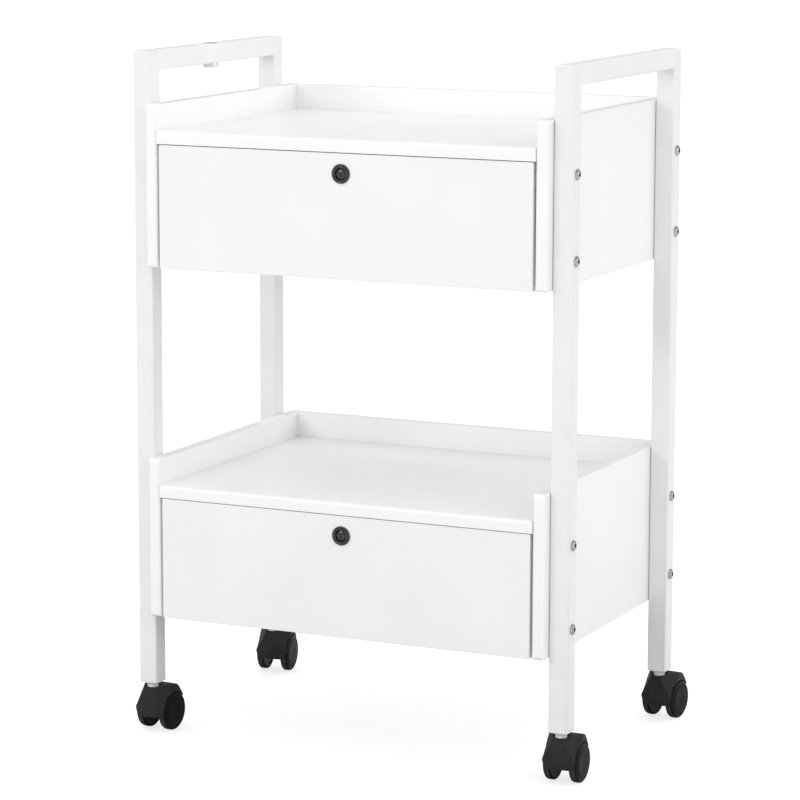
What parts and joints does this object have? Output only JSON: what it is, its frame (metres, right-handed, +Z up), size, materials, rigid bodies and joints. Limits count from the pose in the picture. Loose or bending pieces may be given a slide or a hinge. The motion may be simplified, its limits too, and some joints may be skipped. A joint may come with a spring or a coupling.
{
  "type": "rolling salon trolley",
  "caption": "Wheeled salon trolley: square-tube side frames with handles carry stacked drawer cabinets with rimmed tray tops, cam locks and twin-wheel casters.",
  "frame": {"origin": "on the floor, under the middle of the bounding box", "axes": "+X to the right of a person who faces the drawers, +Y to the back panels, +Z up; the drawers open towards -Y"},
  "size_m": [0.6254, 0.4156, 0.88],
  "materials": {
    "powder_coat": "white powder coat, fine texture, satin",
    "white_foil_board": "fibreboard wrapped in smooth white foil, satin",
    "shelf_laminate": "white laminated fibreboard, slightly greyer top",
    "drawer_board": "white melamine-faced board",
    "zinc_plate": "zinc-plated steel",
    "bright_metal": "nickel-plated steel, bright",
    "lock_black": "black-plated zinc die casting, semi-gloss",
    "black_nylon": "moulded black nylon, satin",
    "wheel_nylon": "moulded black nylon, semi-gloss discs and worn treads",
    "post_insert": "light grey moulded plastic"
  },
  "bodies": {
    "root": {"left_frame": "powder_coat", "right_frame": "powder_coat", "lamp_socket": "bright_metal", "upper_shelf": "shelf_laminate", "upper_back_panel": "white_foil_board", "upper_side_left": "white_foil_board", "upper_cabinet_runner_left": "zinc_plate", "upper_side_right": "white_foil_board", "upper_cabinet_runner_right": "zinc_plate", "lower_shelf": "shelf_laminate", "lower_back_panel": "white_foil_board", "lower_side_left": "white_foil_board", "lower_cabinet_runner_left": "zinc_plate", "lower_side_right": "white_foil_board", "lower_cabinet_runner_right": "zinc_plate", "front_left_insert": "post_insert", "front_right_insert": "post_insert", "rear_left_insert": "post_insert", "rear_right_insert": "post_insert"},
    "upper_drawer": {"upper_drawer_front": "white_foil_board", "upper_drawer_back": "drawer_board", "upper_drawer_bottom": "drawer_board", "upper_drawer_side_left": "drawer_board", "upper_drawer_runner_left": "zinc_plate", "upper_drawer_side_right": "drawer_board", "upper_drawer_runner_right": "zinc_plate", "upper_lock_housing": "lock_black"},
    "upper_lock": {"upper_lock_plug": "lock_black", "upper_lock_cam": "zinc_plate"},
    "lower_drawer": {"lower_drawer_front": "white_foil_board", "lower_drawer_back": "drawer_board", "lower_drawer_bottom": "drawer_board", "lower_drawer_side_left": "drawer_board", "lower_drawer_runner_left": "zinc_plate", "lower_drawer_side_right": "drawer_board", "lower_drawer_runner_right": "zinc_plate", "lower_lock_housing": "lock_black"},
    "lower_lock": {"lower_lock_plug": "lock_black", "lower_lock_cam": "zinc_plate"},
    "front_left_caster": {"front_left_stem": "zinc_plate", "front_left_housing": "black_nylon", "front_left_axle": "zinc_plate"},
    "front_left_wheel_left": {"front_left_wheel_left": "wheel_nylon"},
    "front_left_wheel_right": {"front_left_wheel_right": "wheel_nylon"},
    "front_right_caster": {"front_right_stem": "zinc_plate", "front_right_housing": "black_nylon", "front_right_axle": "zinc_plate"},
    "front_right_wheel_left": {"front_right_wheel_left": "wheel_nylon"},
    "front_right_wheel_right": {"front_right_wheel_right": "wheel_nylon"},
    "rear_left_caster": {"rear_left_stem": "zinc_plate", "rear_left_housing": "black_nylon", "rear_left_axle": "zinc_plate"},
    "rear_left_wheel_left": {"rear_left_wheel_left": "wheel_nylon"},
    "rear_left_wheel_right": {"rear_left_wheel_right": "wheel_nylon"},
    "rear_right_caster": {"rear_right_stem": "zinc_plate", "rear_right_housing": "black_nylon", "rear_right_axle": "zinc_plate"},
    "rear_right_wheel_left": {"rear_right_wheel_left": "wheel_nylon"},
    "rear_right_wheel_right": {"rear_right_wheel_right": "wheel_nylon"}
  },
  "joints": [
    {"name": "upper_drawer_slide", "type": "slide", "parent": "root", "child": "upper_drawer", "axis": [0, -1, 0], "range_m": [0, 0.26]},
    {"name": "upper_lock_turn", "type": "hinge", "parent": "upper_drawer", "child": "upper_lock", "pos_m": [0, -0.20481, 0.74], "axis": [0, 1, 0], "range_deg": [0, 90]},
    {"name": "lower_drawer_slide", "type": "slide", "parent": "root", "child": "lower_drawer", "axis": [0, -1, 0], "range_m": [0, 0.26]},
    {"name": "lower_lock_turn", "type": "hinge", "parent": "lower_drawer", "child": "lower_lock", "pos_m": [0, -0.20481, 0.29], "axis": [0, 1, 0], "range_deg": [0, 90]},
    {"name": "front_left_swivel", "type": "hinge", "parent": "root", "child": "front_left_caster", "pos_m": [-0.2855, -0.17631, 0.05], "axis": [0, 0, 1], "continuous": true},
    {"name": "front_left_wheel_left_spin", "type": "hinge", "parent": "front_left_caster", "child": "front_left_wheel_left", "pos_m": [-0.28393, -0.15838, 0.025], "axis": [0.9962, -0.0872, 0], "continuous": true},
    {"name": "front_left_wheel_right_spin", "type": "hinge", "parent": "front_left_caster", "child": "front_left_wheel_right", "pos_m": [-0.28393, -0.15838, 0.025], "axis": [0.9962, -0.0872, 0], "continuous": true},
    {"name": "front_right_swivel", "type": "hinge", "parent": "root", "child": "front_right_caster", "pos_m": [0.2855, -0.17631, 0.05], "axis": [0, 0, 1], "continuous": true},
    {"name": "front_right_wheel_left_spin", "type": "hinge", "parent": "front_right_caster", "child": "front_right_wheel_left", "pos_m": [0.2855, -0.15831, 0.025], "axis": [1, 0, 0], "continuous": true},
    {"name": "front_right_wheel_right_spin", "type": "hinge", "parent": "front_right_caster", "child": "front_right_wheel_right", "pos_m": [0.2855, -0.15831, 0.025], "axis": [1, 0, 0], "continuous": true},
    {"name": "rear_left_swivel", "type": "hinge", "parent": "root", "child": "rear_left_caster", "pos_m": [-0.2855, 0.16269, 0.05], "axis": [0, 0, 1], "continuous": true},
    {"name": "rear_left_wheel_left_spin", "type": "hinge", "parent": "rear_left_caster", "child": "rear_left_wheel_left", "pos_m": [-0.28769, 0.18056, 0.025], "axis": [0.9925, 0.1219, 0], "continuous": true},
    {"name": "rear_left_wheel_right_spin", "type": "hinge", "parent": "rear_left_caster", "child": "rear_left_wheel_right", "pos_m": [-0.28769, 0.18056, 0.025], "axis": [0.9925, 0.1219, 0], "continuous": true},
    {"name": "rear_right_swivel", "type": "hinge", "parent": "root", "child": "rear_right_caster", "pos_m": [0.2855, 0.16269, 0.05], "axis": [0, 0, 1], "continuous": true},
    {"name": "rear_right_wheel_left_spin", "type": "hinge", "parent": "rear_right_caster", "child": "rear_right_wheel_left", "pos_m": [0.28769, 0.18056, 0.025], "axis": [0.9925, -0.1219, 0], "continuous": true},
    {"name": "rear_right_wheel_right_spin", "type": "hinge", "parent": "rear_right_caster", "child": "rear_right_wheel_right", "pos_m": [0.28769, 0.18056, 0.025], "axis": [0.9925, -0.1219, 0], "continuous": true}
  ]
}
